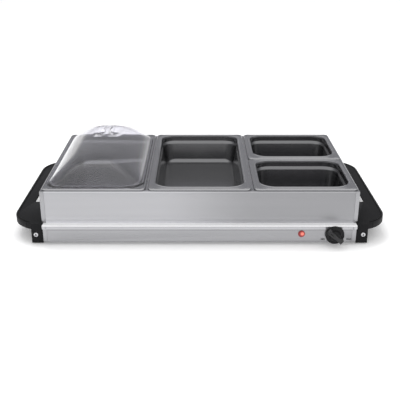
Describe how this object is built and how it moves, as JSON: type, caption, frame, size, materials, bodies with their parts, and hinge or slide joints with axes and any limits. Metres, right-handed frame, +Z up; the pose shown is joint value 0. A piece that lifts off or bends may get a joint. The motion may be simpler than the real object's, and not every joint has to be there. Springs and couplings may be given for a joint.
{
  "type": "electric buffet server",
  "caption": "Low rectangular heated buffet server with black end handles, a lift-off tray frame, full and half food pans, a clear domed lid, a round dial and a pilot lamp.",
  "frame": {"origin": "centre of the overall plan, on the table under the rubber feet", "axes": "+X to the right along the length, +Y to the rear away from the dial, +Z up"},
  "size_m": [0.649, 0.386, 0.1345],
  "materials": {
    "base_steel": "fine horizontal brushed grain",
    "bottom_steel": "dull galvanised",
    "screw_steel": "bright nickel plate",
    "handle_plastic": "fine moulded texture",
    "foot_rubber": "matt",
    "spreader_aluminium": "mill finish",
    "element_tube": "heat-darkened",
    "inner_steel": "zinc plated",
    "mineral_wool": "loose felt",
    "block_plastic": "satin moulded",
    "fitting_brass": "turned",
    "lead_brown": "silicone sleeve",
    "lead_white": "silicone sleeve",
    "lead_blue": "silicone sleeve",
    "lead_green": "silicone sleeve",
    "gland_plastic": "satin moulded",
    "lens_red": "clear moulded red",
    "bulb_glass": "glowing",
    "stack_ceramic": "unglazed",
    "knob_plastic": "satin moulded",
    "frame_steel": "fine horizontal brushed grain",
    "pan_steel": "bright satin",
    "lid_plastic": "clear moulded"
  },
  "bodies": {
    "base": {"deck": "base_steel", "front_panel": "base_steel", "rear_panel": "base_steel", "left_side_panel": "base_steel", "right_side_panel": "base_steel", "bottom_cover": "bottom_steel", "bottom_screws": "screw_steel", "left_handle": "handle_plastic", "right_handle": "handle_plastic", "handle_brackets": "bottom_steel", "handle_screws": "screw_steel", "rubber_feet": "foot_rubber", "heat_spreader": "spreader_aluminium", "heating_element": "element_tube", "element_clips": "inner_steel", "insulation_pad": "mineral_wool", "heat_shield": "inner_steel", "shield_studs": "inner_steel", "shield_nuts": "inner_steel", "terminal_block": "block_plastic", "terminal_screws": "fitting_brass", "thermal_fuse": "inner_steel", "fuse_clamp": "inner_steel", "live_lead": "lead_brown", "fuse_lead": "lead_white", "element_lead": "lead_white", "neutral_lead": "lead_blue", "lamp_leads": "lead_white", "earth_lead": "lead_green", "earth_stud": "fitting_brass", "cord_gland": "gland_plastic", "gland_nut": "gland_plastic", "pilot_lens": "lens_red", "pilot_retainer": "inner_steel", "neon_bulb": "bulb_glass", "thermostat_bracket": "inner_steel", "thermostat_bushing": "fitting_brass", "thermostat_nut": "fitting_brass", "thermostat_stack": "stack_ceramic", "contact_blades": "fitting_brass"},
    "knob": {"knob": "knob_plastic", "thermostat_shaft": "inner_steel"},
    "tray_frame": {"frame_front": "frame_steel", "frame_rear": "frame_steel", "frame_left": "frame_steel", "frame_right": "frame_steel", "left_divider": "frame_steel", "right_divider": "frame_steel", "cross_divider": "frame_steel"},
    "left_pan": {"left_pan": "pan_steel"},
    "middle_pan": {"middle_pan": "pan_steel"},
    "front_half_pan": {"front_half_pan": "pan_steel"},
    "rear_half_pan": {"rear_half_pan": "pan_steel"},
    "lid": {"lid": "lid_plastic"}
  },
  "joints": [
    {"name": "knob_turn", "type": "hinge", "parent": "base", "child": "knob", "pos_m": [0.23, -0.176, 0.0205], "axis": [0, 1, 0], "range_deg": [-65, 165]},
    {"name": "tray_frame_lift", "type": "slide", "parent": "base", "child": "tray_frame", "axis": [0, 0, 1], "range_m": [0, 0.08]},
    {"name": "left_pan_lift", "type": "slide", "parent": "tray_frame", "child": "left_pan", "axis": [0, 0, 1], "range_m": [0, 0.08]},
    {"name": "middle_pan_lift", "type": "slide", "parent": "tray_frame", "child": "middle_pan", "axis": [0, 0, 1], "range_m": [0, 0.08]},
    {"name": "front_half_pan_lift", "type": "slide", "parent": "tray_frame", "child": "front_half_pan", "axis": [0, 0, 1], "range_m": [0, 0.08]},
    {"name": "rear_half_pan_lift", "type": "slide", "parent": "tray_frame", "child": "rear_half_pan", "axis": [0, 0, 1], "range_m": [0, 0.08]},
    {"name": "lid_lift", "type": "slide", "parent": "left_pan", "child": "lid", "axis": [0, 0, 1], "range_m": [0, 0.06]}
  ]
}
